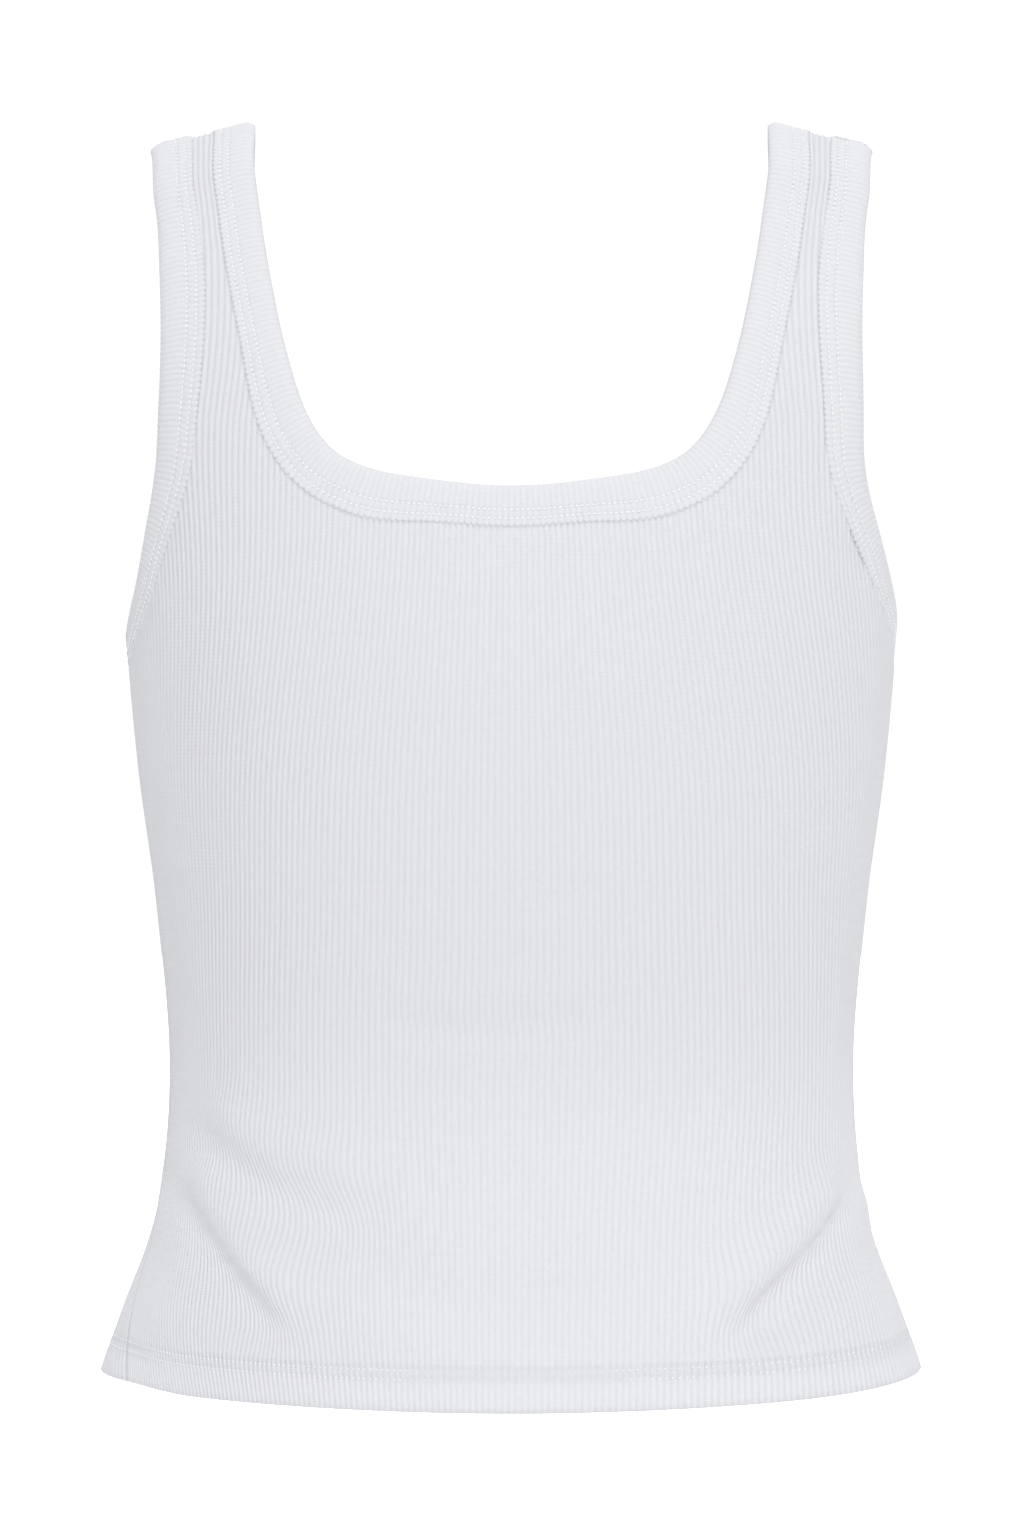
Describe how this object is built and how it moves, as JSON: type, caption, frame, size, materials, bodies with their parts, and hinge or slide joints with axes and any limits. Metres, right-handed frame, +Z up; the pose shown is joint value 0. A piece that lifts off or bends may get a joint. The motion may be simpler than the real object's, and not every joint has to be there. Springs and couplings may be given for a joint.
{
  "type": "tank top",
  "caption": "Fitted sleeveless rib-knit top with a wide scooped neck, straps, bound neck and armholes and a turned-up hem, in its worn hollow form.",
  "frame": {"origin": "midway between the tops of the two straps, at the height of their inner edges, where the wearer's shoulders hold the top up", "axes": "+Z up, the back panel faces -Y, +X is the wearer's right"},
  "size_m": [0.3136, 0.2182, 0.4815],
  "materials": {
    "rib_cloth": "matt white rib knit",
    "band_cloth": "matt white rib knit, ribs across the band"
  },
  "bodies": {
    "root": {"back_panel": "rib_cloth", "front_panel": "rib_cloth", "neck_band": "band_cloth", "armhole_band_left": "band_cloth", "armhole_band_right": "band_cloth"}
  },
  "joints": []
}
